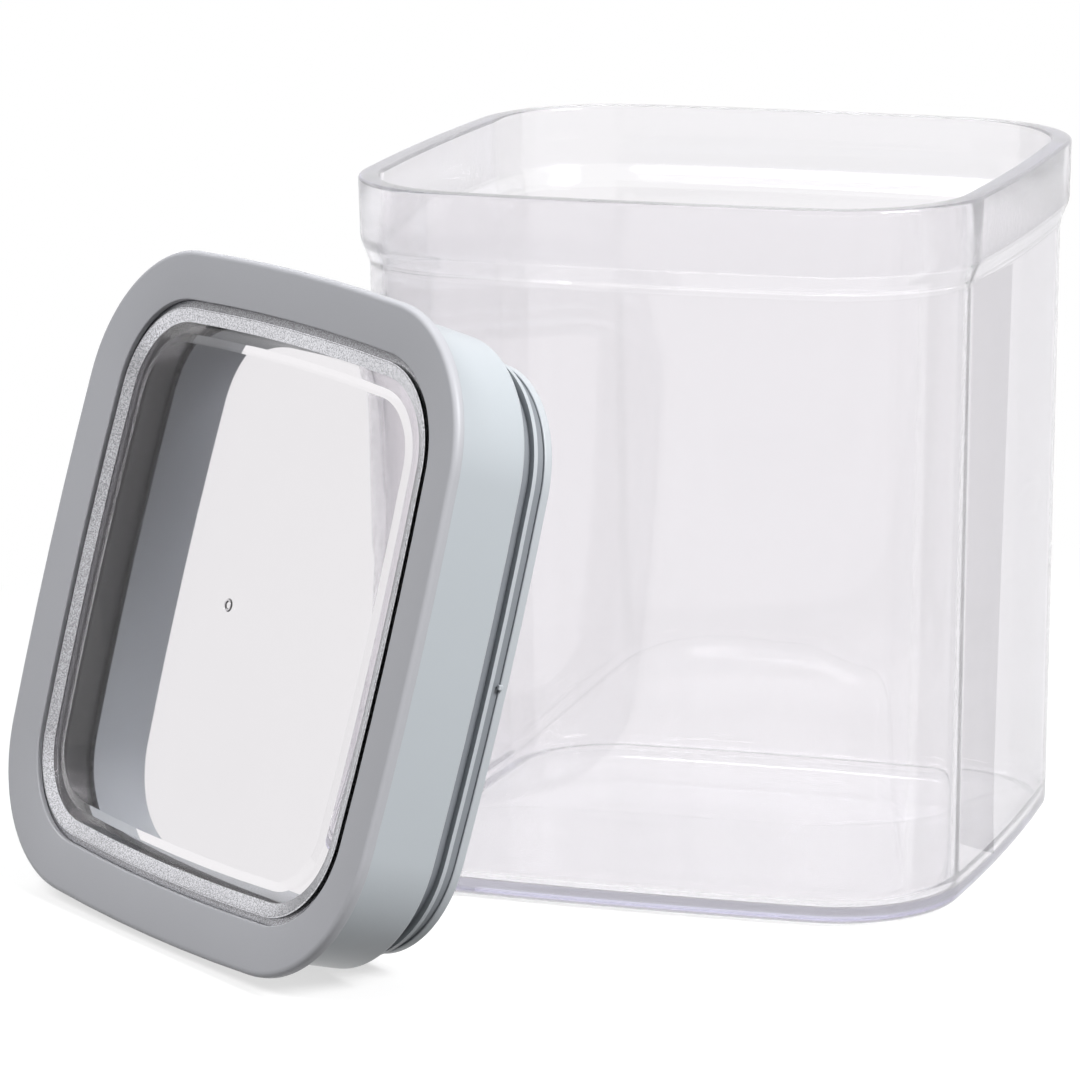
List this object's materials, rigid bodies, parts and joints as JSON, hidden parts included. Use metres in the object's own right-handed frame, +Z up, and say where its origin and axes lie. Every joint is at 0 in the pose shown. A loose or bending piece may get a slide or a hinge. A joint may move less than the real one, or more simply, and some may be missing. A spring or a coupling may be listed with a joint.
{
  "type": "food storage container",
  "caption": "Clear square plastic food storage canister with a frosted collar, shown open, with its grey push-in lid, clear window and soft seal, leaning against it.",
  "frame": {"origin": "middle of the canister's base, on the surface it stands on", "axes": "+Z up along the canister's axis, -Y to the front, where the lid leans on the front left corner, +X to the right"},
  "size_m": [0.1637, 0.1727, 0.1188],
  "materials": {
    "clear_plastic": "clear gloss, frosted grain on the collar",
    "grey_plastic": "fine matt grain",
    "blue_grey_plastic": "satin",
    "window_plastic": "clear gloss, frosted bevel at the rim",
    "seal": "soft satin silicone"
  },
  "bodies": {
    "canister": {"canister": "clear_plastic"},
    "lid": {"lid_ring": "grey_plastic", "lid_skirt": "blue_grey_plastic", "lid_window": "window_plastic", "lid_gasket": "seal"}
  },
  "joints": [
    {"name": "lid_lift", "type": "slide", "parent": "canister", "child": "lid", "axis": [-0.155, -0.2072, 0.9659], "range_m": [0, 0.16]}
  ]
}
